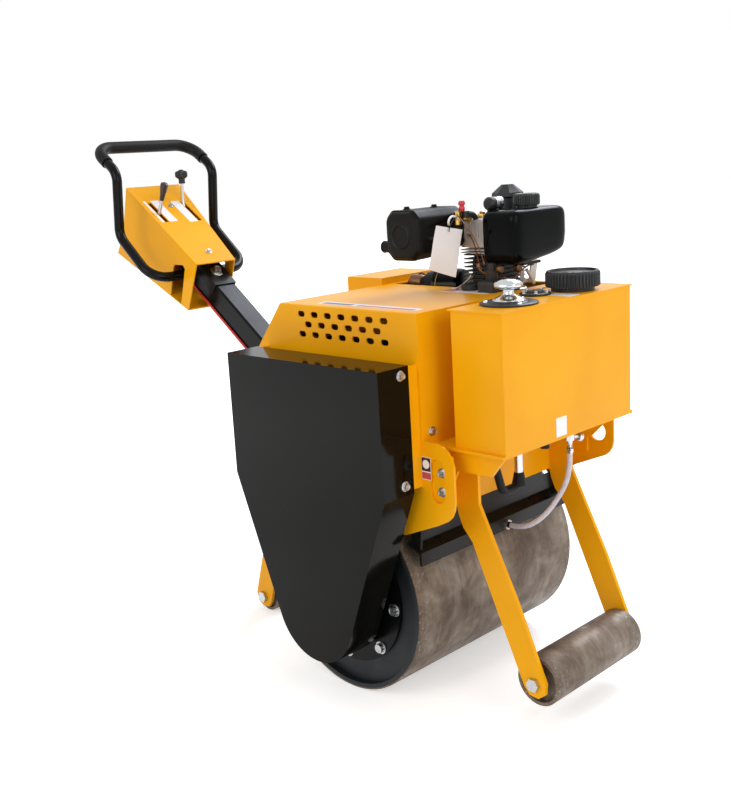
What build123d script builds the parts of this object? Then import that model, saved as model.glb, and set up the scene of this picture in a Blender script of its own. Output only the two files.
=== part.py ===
from build123d import *
import math
import os

os.makedirs("parts", exist_ok=True)

# Row frame: +X forward, +Y to the operator's left, +Z up, millimetres.
# Shapes are drawn about the drum's middle on the ground and moved once by `place`,
# so that the origin lies under the middle of the whole machine.

# Fits
running_gap = 0.05
clear = 5.0

# Drum
drum_dia, drum_width, shell_t = 425.0, 500.0, 12.0
drum_r, drum_half = drum_dia / 2, drum_width / 2
drum_z = drum_r
disc_t, disc_inset = 10.0, 14.0
flange_r, flange_t, bolt_circle_r, flange_bolts = 152.0, 8.0, 137.0, 8
bolt_across, bolt_head = 17.0, 7.0
axle_r, axle_reach = 20.0, 50.0
axle_half = drum_half + axle_reach

# Frame: side plates stand over the drum, a little inside its ends
frame_inset, plate_t, drum_gap = 9.0, 6.0, 22.0
half_frame = drum_half - frame_inset
plate_inner = half_frame - plate_t
plate_top = drum_dia + 143.0
nose = drum_r + 23.5
tail = -(drum_r + 87.5)
cross_w, cross_wall = 50.0, 5.0
bed_z = plate_top - 48.0
hole_r = 20.0
carrier_y, carrier_t = drum_half + 8.0, 10.0

# Hood
sheet = 3.0
hood_front = nose - sheet
hood_rear, hood_rear_top = tail + 70.0, tail + 150.0
hood_top, hood_knee = plate_top + 240.0, plate_top + 144.0
hood_skirt = plate_top - 12.0
slot_w, slot_h, slot_pitch = 21.0, 12.0, 39.0
opening_x0, opening_x1, opening_y0, opening_y1 = -135.0, 205.0, 85.0, 222.0

# Water tank, on a shelf in front of the hood
tank_x0, tank_depth, tank_half, tank_height = hood_front + 50.0, 117.0, 204.0, 255.0
tank_x1 = tank_x0 + tank_depth
shelf_t, shelf_lip = 6.0, 8.0
tank_z0 = hood_skirt
tank_z1 = tank_z0 + tank_height
tank_lid_t = 3.0
lid_z = tank_z1 + tank_lid_t
gusset_out = tank_half - 4.0
tank_mid_x = tank_x0 + tank_depth / 2

# Small rollers
front_r, front_half, front_lift = 48.5, 142.0, 49.5
front_x, front_z = nose + 176.0, front_r + front_lift
rear_r, rear_half = 40.0, 107.0
rear_x, rear_z = tail - 146.0, rear_r
pipe_t, pin_r, pin_across, pin_head = 7.0, 10.0, 24.0, 9.0
arm_t, end_disc, end_inset = 8.0, 8.0, 12.0

# Belt cover
cover_reach, cover_depth, cover_sheet = 97.0, 80.0, 2.5
cover_y = drum_half + cover_reach
cover_back = cover_y - cover_depth
cover_top, cover_corner = hood_knee + 5.0, plate_top - 94.0
cover_end_r = 110.0
cover_end = (9.0, drum_z - 6.5)
cover_x0, cover_x1 = tail + 97.0, nose - clear

# Engine: one upright cylinder on a crankcase
cyl_x0, cyl_y0 = nose - 131.0, half_frame - 91.0
crank_h, barrel_h, head_h = 250.0, 110.0, 72.0
crank_z, barrel_z = bed_z + crank_h, bed_z + crank_h + barrel_h
head_z = barrel_z + head_h
fin_t, fin_pitch = 5.0, 15.0
fuel_tank_wall = 3.0

# Tow post: it rises 3 in 4 to the rear, and carries the console and handlebar
post_w, post_t, post_slope = 60.0, 5.0, 0.75
post_half = post_w / 2
post_top = (tail - 383.0, plate_top + 213.0)
bar_r, bar_wall, grip_t, bar_far = 12.5, 3.0, 3.0, 150.0
console_rear, console_front = post_top[0] - 358.0, post_top[0] + 21.0
cable_r = 3.0

shift_x = -(console_rear + front_x + front_r) / 2
shift_y = (cover_y - axle_half + 8.0) / 2
place = Pos(round(shift_x, 0), shift_y, 0)


def box(x0, x1, y0, y1, z0, z1):
    return Pos((x0 + x1) / 2, (y0 + y1) / 2, (z0 + z1) / 2) * Box(x1 - x0, y1 - y0, z1 - z0)


def cyl_y(r, x, z, y0, y1):
    return Pos(x, (y0 + y1) / 2, z) * Rot(90, 0, 0) * Cylinder(r, y1 - y0)


def cyl_x(r, y, z, x0, x1):
    return Pos((x0 + x1) / 2, y, z) * Rot(0, 90, 0) * Cylinder(r, x1 - x0)


def cyl_z(r, x, y, z0, z1):
    return Pos(x, y, (z0 + z1) / 2) * Cylinder(r, z1 - z0)


def hex_y(across, x, z, y0, y1):
    face = RegularPolygon(across / math.sqrt(3), 6)
    return Pos(x, y1, z) * Rot(90, 0, 0) * extrude(face, amount=y1 - y0)


def span(side, near, far):
    """The stretch of y between two distances from the middle, on one side."""
    return sorted((side * near, side * far))


def raised(points, x=0.0, z=0.0):
    return [(px + x, pz + z) for px, pz in points]


def plate_xz(points, y0, y1):
    """A flat plate whose outline lies in XZ, between y0 and y1."""
    face = make_face(Polyline([(x, z) for x, z in points], close=True))
    return Pos(0, y1, 0) * Rot(90, 0, 0) * extrude(face, amount=y1 - y0)


def turned(profile, x, y, z):
    """A solid of revolution about a vertical axis, from (radius, height) points."""
    face = Plane.XZ * make_face(Polyline(profile, close=True))
    return Pos(x, y, z) * revolve(face, Axis.Z)


def tube_along(path, r, inner=0.0):
    plane = Plane(origin=path @ 0, z_dir=path % 0)
    ring = plane * Circle(r)
    if inner:
        ring = ring - plane * Circle(inner)
    return sweep(ring, path=path)


def save(name, shape):
    solids = [place * s for s in shape.solids()]
    body = solids[0] if len(solids) == 1 else Compound(children=solids)
    export_step(body, f"parts/{name}.step")


# ---------------------------------------------------------------- drum
def drum():
    inner_r = drum_r - shell_t
    shell = cyl_y(drum_r, 0, drum_z, -drum_half, drum_half)
    shell -= cyl_y(inner_r, 0, drum_z, -drum_half - 1, drum_half + 1)
    disc_face = drum_half - disc_inset
    for side in (-1, 1):
        shell += cyl_y(inner_r, 0, drum_z, *span(side, disc_face, disc_face - disc_t))
    shell -= cyl_y(axle_r, 0, drum_z, -drum_half, drum_half)
    save("drum_shell", shell)
    for name, side in (("drum_flange_right", -1), ("drum_flange_left", 1)):
        part = cyl_y(flange_r, 0, drum_z, *span(side, disc_face, disc_face + flange_t))
        part -= cyl_y(axle_r, 0, drum_z, -drum_half, drum_half)
        for i in range(flange_bolts):
            t = math.radians(-3 - 360 / flange_bolts * i)
            x, z = bolt_circle_r * math.cos(t), drum_z + bolt_circle_r * math.sin(t)
            part += hex_y(bolt_across, x, z, *span(side, disc_face + flange_t, disc_face + flange_t + bolt_head))
        save(name, part)
    save("drum_axle", cyl_y(axle_r, 0, drum_z, -axle_half - axle_r, axle_half - 8))


# ---------------------------------------------------------------- frame
right_front = [(nose + x, plate_top + z) for x, z in
               ((31, 0), (45, -4), (57, -12), (66, -24), (71, -39), (71, -108), (68, -124), (61, -138), (50, -148),
                (27, -160))]
left_front = [(nose + x, plate_top + z) for x, z in
              ((68, 0), (85, -5), (97, -17), (102, -34), (102, -92), (99, -107), (92, -119), (82, -127), (7, -159))]
hole_x, hole_z = nose + 63.0, plate_top - 77.0
recess_x, recess_r = nose + 31.0, 18.0
recess_low, recess_high = plate_top - 115.0, plate_top - 30.0
plate_low = plate_top - 196.0


def side_plate(side):
    a, b = span(side, half_frame, plate_inner)
    front = right_front if side < 0 else left_front
    part = plate_xz([(tail, plate_top)] + front + [(nose - 58, plate_low), (tail, plate_low)], a, b)
    part -= cyl_y(drum_r + drum_gap, 0, drum_z, a - 1, b + 1)
    if side > 0:
        return part - cyl_y(hole_r, hole_x, hole_z, a - 1, b + 1)
    low, high = recess_low + recess_r, recess_high - recess_r
    part -= box(recess_x - recess_r, recess_x + recess_r, a - 1, b + 1, low, high)
    for z in (low, high):
        part -= cyl_y(recess_r, recess_x, z, a - 1, b + 1)
    return part


def cross_tube(x0, z0):
    t, x1 = cross_wall, x0 + cross_w
    hollow = box(x0 + t, x1 - t, -plate_inner - 1, plate_inner + 1, z0 + t, bed_z - t)
    return box(x0, x1, -plate_inner, plate_inner, z0, bed_z) - hollow


def frame():
    save("side_plate_right", side_plate(-1))
    save("side_plate_left", side_plate(1))
    front = cross_tube(nose - cross_w, bed_z - 100)
    front += box(hood_front - 2 * sheet - shelf_t + sheet, hood_front - sheet, -plate_inner, plate_inner, bed_z, plate_top)
    for side, reach in ((-1, 62), (1, 40)):
        a, b = span(side, plate_inner, plate_inner - plate_t)
        front += box(nose, nose + reach, a, b, plate_top - 122, plate_top - 22)
    save("front_cross", front)
    save("rear_cross", cross_tube(tail, bed_z - 74))
    bed = Part()
    rail_w, rail_h, slat_h = 40.0, 20.0, 8.0
    outer = plate_inner - 10
    for y in (-outer + 25, -20, 60, outer - rail_w):
        bed += box(tail + cross_w, nose - cross_w, y, y + rail_w, bed_z - rail_h, bed_z)
    for x in (tail + 70, -40, 120):
        bed += box(x, x + rail_w, -outer + 25, outer, bed_z - rail_h, bed_z - rail_h + slat_h)
    save("engine_bed", bed)
    for name, side in (("carrier_right", -1), ("carrier_left", 1)):
        a, b = span(side, carrier_y, carrier_y + carrier_t)
        top, low = plate_top - 23, drum_z - 52.5
        part = plate_xz([(-95, top), (95, top), (95, top - 125), (60, low), (30, low - 20), (-30, low - 20), (-60, low),
                         (-95, top - 125)], a, b)
        part += cyl_y(48, 0, drum_z, *span(side, carrier_y, carrier_y + 32))
        part -= cyl_y(axle_r + running_gap, 0, drum_z, *span(side, carrier_y - 1, carrier_y + 33))
        for x in (-60, 60):
            part += cyl_y(18, x, top - 40, *span(side, half_frame, carrier_y))
        save(name, part)


# ---------------------------------------------------------------- hood
def hood_outline(g=0.0):
    return [(hood_rear + g, plate_top), (hood_rear + g, hood_knee - g * 0.3),
            (hood_rear_top + g * 0.7, hood_top - g), (hood_front - g, hood_top - g), (hood_front - g, plate_top)]


def obround(x, z, y0, y1):
    reach = (slot_w - slot_h) / 2
    hole = box(x - reach, x + reach, y0, y1, z - slot_h / 2, z + slot_h / 2)
    return hole + cyl_y(slot_h / 2, x - reach, z, y0, y1) + cyl_y(slot_h / 2, x + reach, z, y0, y1)


def hood():
    y = half_frame
    part = plate_xz(hood_outline(), -y, y)
    inner = [(x, z if z > plate_top else plate_top - 5) for x, z in hood_outline(sheet)]
    part -= plate_xz(inner, -y + sheet, y - sheet)
    part -= box(opening_x0, opening_x1, opening_y0, opening_y1, hood_top - 10, hood_top + 5)
    at_bend = hood_top - 0.1
    bends = [e for e in part.edges().filter_by(Axis.X)
             if abs(abs(e.center().Y) - y) < 0.1 and e.center().Z > at_bend]
    part = fillet(bends, sheet + 0.5)
    middle = (hood_rear_top + hood_front) / 2
    for count, drop in ((7, 19.0), (6, 39.5), (7, 60.0)):
        for i in range(count):
            x = middle + slot_pitch * (i - (count - 1) / 2) - 10
            for side in (-1, 1):
                part -= obround(x, hood_top - drop, *span(side, y - sheet - 1, y + 1))
    part += box(hood_front - sheet, hood_front, -plate_inner + 1, plate_inner - 1, hood_skirt, plate_top + sheet)
    save("hood", part)
    box_top, box_rear = hood_top + 15, hood_rear - 32
    points = [(box_rear, box_top), (hood_rear_top, box_top), (hood_rear_top, hood_top), (hood_rear, hood_knee),
              (box_rear, hood_knee)]
    save("battery_box", plate_xz(points, 60, half_frame - sheet))


# ---------------------------------------------------------------- water tank
cap_x, cap_y, cap_r, cap_h = tank_mid_x, tank_half - 111.0, 53.0, 31.0
neck_r, neck_h = 42.0, 8.0
breather_y, flange_reach = 96.0 - tank_half, 54.0
breather_profile = [(0, 0), (flange_reach, 0), (flange_reach, 3), (24, 10), (12, 13), (12, 26), (28, 31), (27, 38),
                    (18, 45), (0, 47)]
drain_x, drain_y, drain_r, drain_low = tank_x0 + 17.0, -40.0, 8.2, plate_top - 105.0
hose_wall = 3.0


def tank():
    x0, x1, h, w = tank_x0, tank_x1, tank_half, sheet
    part = box(x0, x1, -h, h, tank_z0, tank_z1)
    part -= box(x0 + w, x1 - w, -h + w, h - w, tank_z0 + w, tank_z1 - w)
    part += box(x0 - 4, x1 + 2, -h - 4, h + 4, tank_z1, lid_z)
    save("water_tank", part)
    shelf_z = tank_z0 - shelf_t
    support = box(x0 - 19, x1, -h - shelf_lip, h + shelf_lip, shelf_z, tank_z0)
    support += box(hood_front, x0 - 19, -plate_inner, plate_inner, shelf_z, tank_z0)
    right = [(nose, 0), (x1 - 4, 0), (x1 - 8, -4), (x1 - 37, -39), (x0 - 1, -42), (nose + 26, -80), (nose, -80)]
    left = [(nose, 0), (x1 - 31, 0), (x1 - 88, -57), (nose + 26, -80), (nose, -80)]
    for side, outline in ((-1, right), (1, left)):
        support += plate_xz(raised(outline, 0, shelf_z), *span(side, gusset_out - plate_t, gusset_out))
    save("tank_support", support)
    cap = cyl_z(neck_r, cap_x, cap_y, lid_z, lid_z + neck_h)
    cap += chamfer(cyl_z(cap_r, cap_x, cap_y, lid_z + neck_h, lid_z + neck_h + cap_h).edges(), 2.5)
    cap_top = lid_z + neck_h + cap_h
    save("water_cap", cap - cyl_z(cap_r - 10, cap_x, cap_y, cap_top - 3, cap_top + 1))
    save("breather_cap", turned(breather_profile, tank_mid_x, breather_y, lid_z))
    save("drain_pipe", cyl_z(drain_r, drain_x, drain_y, drain_low, shelf_z))
    dip, x, y = drain_low - 22, drain_x, drain_y
    bend = FilletPolyline((x, y, drain_low), (x, y, dip), (x, y - 52, dip), (x, y - 76, drain_low + 49),
                          (x, y - 76, shelf_z), radius=20)
    save("drain_elbow", tube_along(bend, drain_r, drain_r - hose_wall))
    save("drain_plug", cyl_z(9, x1 - 12, -72, shelf_z - 10, shelf_z))


# ---------------------------------------------------------------- small rollers
def front_arm_outline():
    x, z = front_x, front_z
    return [(nose, bed_z - 20), (nose + 55, bed_z - 20), (nose + 55, bed_z - 88), (nose + 88, bed_z - 158),
            (x - 38, z + 160), (x + 26, z + 6), (x + 24, z - 16), (x + 8, z - 28), (x - 12, z - 26), (x - 24, z - 12),
            (nose + 36, bed_z - 168), (nose + 14, bed_z - 142), (nose + 4, bed_z - 118), (nose, bed_z - 100)]


def rear_arm_outline():
    x, z = rear_x, rear_z
    return [(tail, bed_z - 20), (tail - 46, bed_z - 20), (tail - 48, bed_z - 100), (x - 28, z + 4), (x - 22, z - 18),
            (x - 4, z - 27), (x + 16, z - 24), (x + 26, z - 8), (tail - 10, bed_z - 154), (tail - 4, bed_z - 120),
            (tail, bed_z - 90)]


def rollers():
    for tag, outline, x, z, r, half in (("front", front_arm_outline(), front_x, front_z, front_r, front_half),
                                        ("rear", rear_arm_outline(), rear_x, rear_z, rear_r, rear_half)):
        inner = half + clear
        end = inner + arm_t
        for name, side in (("right", -1), ("left", 1)):
            a, b = span(side, inner, end)
            arm = plate_xz(outline, a, b) - cyl_y(pin_r + running_gap, x, z, a - 1, b + 1)
            save(f"{tag}_arm_{name}", arm)
        roller = cyl_y(r, x, z, -half, half) - cyl_y(r - pipe_t, x, z, -half - 1, half + 1)
        for side in (-1, 1):
            roller += cyl_y(r - pipe_t, x, z, *span(side, half - end_inset, half - end_inset - end_disc))
        roller -= cyl_y(pin_r + running_gap, x, z, -half - 1, half + 1)
        save(f"{tag}_roller", roller)
        pin = cyl_y(pin_r, x, z, -end, end)
        for side in (-1, 1):
            pin += hex_y(pin_across, x, z, *span(side, end, end + pin_head))
        save(f"{tag}_pin", pin)


# ---------------------------------------------------------------- belt cover
def tangent_point(corner, side):
    """Where the line from a corner touches the cover's round end."""
    dx, dz = corner[0] - cover_end[0], corner[1] - cover_end[1]
    turn = math.atan2(dz, dx) - side * math.acos(cover_end_r / math.hypot(dx, dz))
    return (cover_end[0] + cover_end_r * math.cos(turn), cover_end[1] + cover_end_r * math.sin(turn))


def cover_face():
    front, rear = (cover_x1, cover_corner), (cover_x0 - 3, cover_corner - 12)
    touch_front, touch_rear = tangent_point(front, 1), tangent_point(rear, -1)
    bottom = (cover_end[0], cover_end[1] - cover_end_r)
    edges = Polyline(touch_rear, rear, (cover_x0, cover_top), (cover_x1, cover_top), front, touch_front)
    return make_face(edges + ThreePointArc(touch_front, bottom, touch_rear))


def cover():
    face = cover_face()
    upright = Rot(90, 0, 0)
    solid = Pos(0, -cover_back, 0) * upright * extrude(face, amount=cover_depth)
    inner = offset(face, amount=-cover_sheet, kind=Kind.INTERSECTION)
    part = solid - Pos(0, -cover_back + 5, 0) * upright * extrude(inner, amount=cover_depth + 5 - cover_sheet)
    save("belt_cover", part)
    x1, x0 = cover_x1 - cover_sheet, cover_x0 + cover_sheet
    low, high = cover_corner + 6, cover_top - cover_sheet
    bracket = box(x1 - plate_t, x1, -cover_back - 30, -half_frame, low, high)
    save("cover_bracket_front", bracket)
    save("cover_bracket_rear", box(x0, x0 + plate_t, -cover_back - 30, -half_frame, low, high))


# ---------------------------------------------------------------- engine
muffler_w, muffler_h, muffler_cut, muffler_rim = 92.0, 103.0, 15.0, 6.0
muffler_x1, muffler_z1 = cyl_x0 - 28.0, head_z + 29.0
muffler_y0, muffler_y1 = -60.0, 88.0
stub_r, stub_len, stub_y = 12.0, 23.0, -38.0
fuel_x, fuel_y, fuel_z = cyl_x0 + 89.5, cyl_y0 - 12.5, head_z - 35.0
fuel_w, fuel_long, fuel_high, fuel_round = 93.0, 179.0, 110.0, 20.0
cleaner_profile = [(0, 0), (24, 0), (24, 40), (34, 43), (34, 47), (15, 63), (0, 65)]


def rounded_box(w, d, h, r):
    return fillet(Box(w, d, h).edges(), r)


def engine():
    save("engine_block", box(cyl_x0 - 155, cyl_x0 + 65, cyl_y0 - 80, cyl_y0 + 65, bed_z, crank_z))
    save("gearbox", box(tail + 75, cyl_x0 - 170, -plate_inner + 20, 45, bed_z, bed_z + 180))
    barrel = box(cyl_x0 - 32, cyl_x0 + 32, cyl_y0 - 44, cyl_y0 + 44, crank_z, barrel_z)
    for i in range(int((barrel_h - 10) // fin_pitch) + 1):
        z = crank_z + 4 + fin_pitch * i
        barrel += box(cyl_x0 - 41, cyl_x0 + 41, cyl_y0 - 55, cyl_y0 + 55, z, z + fin_t)
    save("cylinder", barrel)
    save("cylinder_head", box(cyl_x0 - 45, cyl_x0 + 39, cyl_y0 - 60, cyl_y0 + 55, barrel_z, head_z))
    shell = rounded_box(fuel_w, fuel_long, fuel_high, fuel_round)
    w = 2 * fuel_tank_wall
    shell -= rounded_box(fuel_w - w, fuel_long - w, fuel_high - w, fuel_round - fuel_tank_wall)
    save("fuel_tank", Pos(fuel_x, fuel_y, fuel_z) * shell)
    low, high = fuel_z - fuel_high / 2, fuel_z + fuel_high / 2
    save("tank_bracket", box(cyl_x0 + 32, fuel_x + 15, cyl_y0 - 40, cyl_y0 + 20, low - 6, low))
    cap = cyl_z(27, fuel_x + 5.5, fuel_y + 1.5, high, high + 28)
    save("fuel_cap", chamfer(cap.edges(), 2))
    save("air_cleaner", turned(cleaner_profile, cyl_x0 + 15, cyl_y0 + 30, head_z))
    muffler()


def muffler():
    x1, z1, c = muffler_x1, muffler_z1, muffler_cut
    x0, z0 = x1 - muffler_w, z1 - muffler_h
    points = [(x0 + c, z0), (x1 - c, z0), (x1, z0 + c), (x1, z1 - c), (x1 - c, z1), (x0 + c, z1), (x0, z1 - c),
              (x0, z0 + c)]
    shell = plate_xz(points, muffler_y0, muffler_y1)
    rim = [e for e in shell.edges() if min(abs(e.center().Y - muffler_y0), abs(e.center().Y - muffler_y1)) < 0.1]
    shell = chamfer(rim, muffler_rim)
    shell += cyl_y(27, (x0 + x1) / 2, (z0 + z1) / 2, muffler_y0 - 2, muffler_y0 + 1)
    shell += cyl_x(stub_r, stub_y, z0 + 27, x0 - stub_len, x0 + 1)
    save("muffler", shell + box(cyl_x0 - 85, cyl_x0 - 45, muffler_y1, cyl_y0 - 25, barrel_z + 15, head_z - 17))


# ---------------------------------------------------------------- tow post and console
def post_point(x, off=0.0):
    """The post's centre line; off is measured square to it, upward."""
    z = post_top[1] - post_slope * (x - post_top[0])
    return (x + off * 0.6, z + off * 0.8)


def post_bar(half, x0, x1):
    return plate_xz([post_point(x0, half), post_point(x1, half), post_point(x1, -half), post_point(x0, -half)],
                    -half, half)


def post():
    rear, front = post_top[0] - 157, tail + 30
    bar = post_bar(post_half, rear, front)
    along = Vector(1, 0, -post_slope).normalized()
    long_edges = [e for e in bar.edges() if abs(abs((e % 0.5).dot(along)) - 1) < 1e-4]
    bar = fillet(long_edges, post_t)
    bar -= post_bar(post_half - post_t, rear - 60, front + 20)
    bar -= box(tail - 6, tail + 100, -100, 100, plate_top - 188, plate_top + 132)
    z = post_point(tail)[1]
    save("tow_post", bar + box(tail - 8, tail, -post_w, post_w, z - 54, z + 66))


console_outline = raised([(-279, 269), (-317, 154), (-358, 95), (-36, -45), (21, 75)], *post_top)
console_hollow = raised([(-277, 264), (-314, 154), (-351, 95.5), (-36, -41.5), (150, -41.5), (150, -12)], *post_top)
console_window = raised([(-33, 62), (-41, 71), (-80, 71), (-86, 64), (-117, -21), (-117, -91), (-67, -91), (-67, -33)],
                        *post_top)
slots = ((-44.0, -216, -137), (56.0, -209, -131))
pivot_x, pivot_z, pivot_r = post_top[0] - 183, post_top[1] + 174, 5.0
lever_r = 4.0


def console_side(x, side):
    """The y of the console's outer face at x: the right side runs nearly straight, the left draws in."""
    t = (x - console_rear) / (console_front - console_rear)
    return -66 - 12 * t if side < 0 else 116 - 72 * t


def console_plan(wall):
    x0, x1 = console_rear, console_front + 60
    points = [(x0, console_side(x0, -1) + wall), (x1, console_side(x1, -1) + wall), (x1, console_side(x1, 1) - wall),
              (x0, console_side(x0, 1) - wall)]
    z0 = post_top[1] - 131
    return Pos(0, 0, z0) * extrude(make_face(Polyline(points, close=True)), amount=450)


def console():
    part = plate_xz(console_outline, -130, 130) & console_plan(0)
    part -= plate_xz(console_hollow, -130, 130) & console_plan(sheet)
    floor = plate_xz(raised([(-351, 95), (-36, -42), (-36, -45), (-358, 95)], *post_top), -130, 130) & console_plan(0)
    part -= plate_xz(console_window, -130, 130)
    part += floor
    for slot_y, x0, x1 in slots:
        a, b = x0 + post_top[0], x1 + post_top[0]
        z = post_top[1]
        part -= plate_xz([(a, z + 279), (b, z + 224), (b, z + 119), (a, z + 179)], slot_y - 6, slot_y + 6)
    for x in (post_top[0] - 112, post_top[0] - 145):
        z = post_point(x)[1]
        part += cyl_y(7, x, z, console_side(x, -1) + 1.5, -post_half)
        part += cyl_y(7, x, z, post_half, console_side(x, 1) - 1.5)
    part += cyl_y(pivot_r, pivot_x, pivot_z, console_side(pivot_x, -1) + 1.5, console_side(pivot_x, 1) - 1.5)
    save("console", part)
    levers()
    cables()
    handlebar()


def lever_hub(y):
    return cyl_y(pivot_r + 5, pivot_x, pivot_z, y - 5, y + 5)


def lever_bore(y):
    return cyl_y(pivot_r + running_gap, pivot_x, pivot_z, y - 6, y + 6)


def levers():
    y = slots[0][0]
    foot = Vector(pivot_x, y, pivot_z)
    top = foot + Vector(50, 0, 102)
    way = (top - foot).normalized()
    grip = Plane(origin=top - way * 46, z_dir=way)
    part = lever_hub(y) + tube_along(Line(foot, top - way * 20), lever_r)
    part += loft([grip * Circle(5.5), grip.offset(38) * Circle(10)]) + tube_along(Line(top - way * 8.1, top), 9.5)
    save("lever_right", part - lever_bore(y))
    y = slots[1][0]
    foot = Vector(pivot_x, y, pivot_z)
    knee, neck = foot + Vector(-22, 0, 45), foot + Vector(-16, 0, 100)
    part = lever_hub(y) + tube_along(FilletPolyline(foot, knee, neck, radius=12), lever_r)
    part += cyl_z(8, neck.X, y, neck.Z - 1, neck.Z + 18) + cyl_z(13, neck.X, y, neck.Z + 15, neck.Z + 34)
    for i in range(5):
        t = math.radians(72 * i)
        part += cyl_z(6, neck.X + 11 * math.cos(t), y + 11 * math.sin(t), neck.Z + 18, neck.Z + 32)
    save("lever_left", part - lever_bore(y))


def cables():
    """Two sheathed cables clipped along the post's lower right edge."""
    pair = Part()
    x0, x1 = post_top[0] - 50, tail - 25
    for y, off in ((-post_half - cable_r, -post_half + cable_r), (-post_half + 2, -post_half - cable_r)):
        a, b = post_point(x0, off), post_point(x1, off)
        pair += tube_along(Line((a[0], y, a[1]), (b[0], y, b[1])), cable_r)
    save("control_cables", pair)


def handlebar():
    run = raised([(-74, 43), (-203, 149), (-185, 309), (-282, 374)], *post_top)
    corners = [(x, -bar_far, z) for x, z in run] + [(x, bar_far, z) for x, z in run[::-1]]
    ends = [(run[0][0], side * post_half, run[0][1]) for side in (-1, 1)]
    bend = [50, 40, 40, 50]
    path = FilletPolyline(ends[0], *corners, ends[1], radius=bend + bend[::-1])
    save("handlebar", tube_along(path, bar_r, bar_r - bar_wall))
    (knee_x, knee_z), (top_x, top_z) = run[2], run[3]
    share = 70 / math.hypot(knee_x - top_x, knee_z - top_z)
    x, z = top_x + share * (knee_x - top_x), top_z + share * (knee_z - top_z)
    grip = FilletPolyline((x, -bar_far, z), (top_x, -bar_far, top_z), (top_x, bar_far, top_z), (x, bar_far, z), radius=50)
    save("grip_sleeve", tube_along(grip, bar_r + grip_t, bar_r))


# ---------------------------------------------------------------- scraper and water line
scraper_x, scraper_z = drum_r - 3.5, drum_z + 101.5
scraper_t, lip_h = 5.0, 27.0
fitting_y = 20.0


def scraper():
    y0, y1 = -drum_half + 11, drum_half
    x, z, t = scraper_x, scraper_z, scraper_t
    bar = box(x, x + t, y0, y1, z, z + lip_h)
    bar += plate_xz(raised([(t, lip_h), (-31, 44), (-33.1, 39.5), (0, 23.8)], x, z), y0, y1)
    web_x = nose - cross_w
    bar += box(web_x, web_x + 4, -plate_inner, plate_inner, z + 36, z + 73)
    bar += box(web_x, web_x + 4, -plate_inner, plate_inner - 53, z + 73, bed_z - 100)
    for side in (-1, 1):
        a, b = span(side, plate_inner - 6, plate_inner)
        bar += plate_xz(raised([(-23, 40), (-1, 29.5), (t, 86), (-17, 86)], x, z), a, b)
    save("scraper_bar", bar + cyl_x(6.5, fitting_y, spray_z, x + t, spray_x))


# Hose route: tangent arcs between straight runs, from the valve down and back to the spray bar
spray_x, spray_z = scraper_x + scraper_t + 14.0, scraper_z + 13.0
valve_x, valve_y, valve_z = tank_x0 + 52.0, 82.0, tank_z0 - shelf_t - 64.0
hose_points = [(valve_x, valve_y, valve_z), (valve_x, valve_y, valve_z - 44), (valve_x - 17, 66, spray_z + 65),
               (spray_x + 66, 42, spray_z + 23), (spray_x + 34, fitting_y, spray_z), (spray_x, fitting_y, spray_z)]
hose_r = 5.5


def water_line():
    x, y, z = hose_points[0]
    shelf_z = tank_z0 - shelf_t
    valve = cyl_z(9, x, y, z + 26, shelf_z) + cyl_z(7, x, y, z, z + 26) + cyl_x(6, y, z + 46, x, x + 17)
    save("water_valve", valve)
    points = [Vector(*p) for p in hose_points]
    radii = []
    for a, b, c in zip(points, points[1:], points[2:]):
        turn = (b - a).get_angle(c - b)
        run = min((b - a).length, (c - b).length)
        radii.append(round(0.45 * run / math.tan(math.radians(turn / 2)), 1))
    print("hose bend radii", radii)
    path = FilletPolyline(*hose_points, radius=radii)
    save("water_hose", tube_along(path, hose_r))


drum()
frame()
hood()
tank()
rollers()
cover()
engine()
post()
console()
scraper()
water_line()
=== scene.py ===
import math
from functools import partial

import bmesh
import bpy
import numpy as np
from mathutils import Matrix, Vector


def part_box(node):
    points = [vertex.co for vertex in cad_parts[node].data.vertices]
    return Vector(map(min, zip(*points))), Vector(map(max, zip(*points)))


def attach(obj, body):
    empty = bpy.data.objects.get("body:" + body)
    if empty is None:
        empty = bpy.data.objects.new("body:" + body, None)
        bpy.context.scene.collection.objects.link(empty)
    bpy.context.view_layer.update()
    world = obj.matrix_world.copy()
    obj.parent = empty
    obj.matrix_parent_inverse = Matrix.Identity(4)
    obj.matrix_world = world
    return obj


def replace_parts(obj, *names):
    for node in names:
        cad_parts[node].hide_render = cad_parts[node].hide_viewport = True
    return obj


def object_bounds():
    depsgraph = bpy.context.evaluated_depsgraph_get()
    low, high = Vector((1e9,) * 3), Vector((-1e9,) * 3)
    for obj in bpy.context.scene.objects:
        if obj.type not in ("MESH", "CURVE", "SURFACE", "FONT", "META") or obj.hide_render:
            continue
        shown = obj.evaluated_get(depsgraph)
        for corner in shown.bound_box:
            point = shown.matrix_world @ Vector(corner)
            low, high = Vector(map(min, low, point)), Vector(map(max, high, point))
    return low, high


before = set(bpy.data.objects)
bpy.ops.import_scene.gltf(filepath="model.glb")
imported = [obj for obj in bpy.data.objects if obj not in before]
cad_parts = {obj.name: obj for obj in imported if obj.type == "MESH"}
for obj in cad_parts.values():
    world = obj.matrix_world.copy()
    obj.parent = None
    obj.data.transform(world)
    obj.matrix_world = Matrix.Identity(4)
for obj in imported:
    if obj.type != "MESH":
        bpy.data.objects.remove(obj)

cadLow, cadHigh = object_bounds()
print("frame loaded:", len(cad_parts), "nodes")


def hexToLinear(code):  # sRGB hex text to the linear colour that a shader takes
    part = np.array([int(code[i:i + 2], 16) for i in (1, 3, 5)]) / 255.0
    line = np.where(part <= 0.04045, part / 12.92, ((part + 0.055) / 1.055) ** 2.4)
    return (float(line[0]), float(line[1]), float(line[2]), 1.0)


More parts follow.
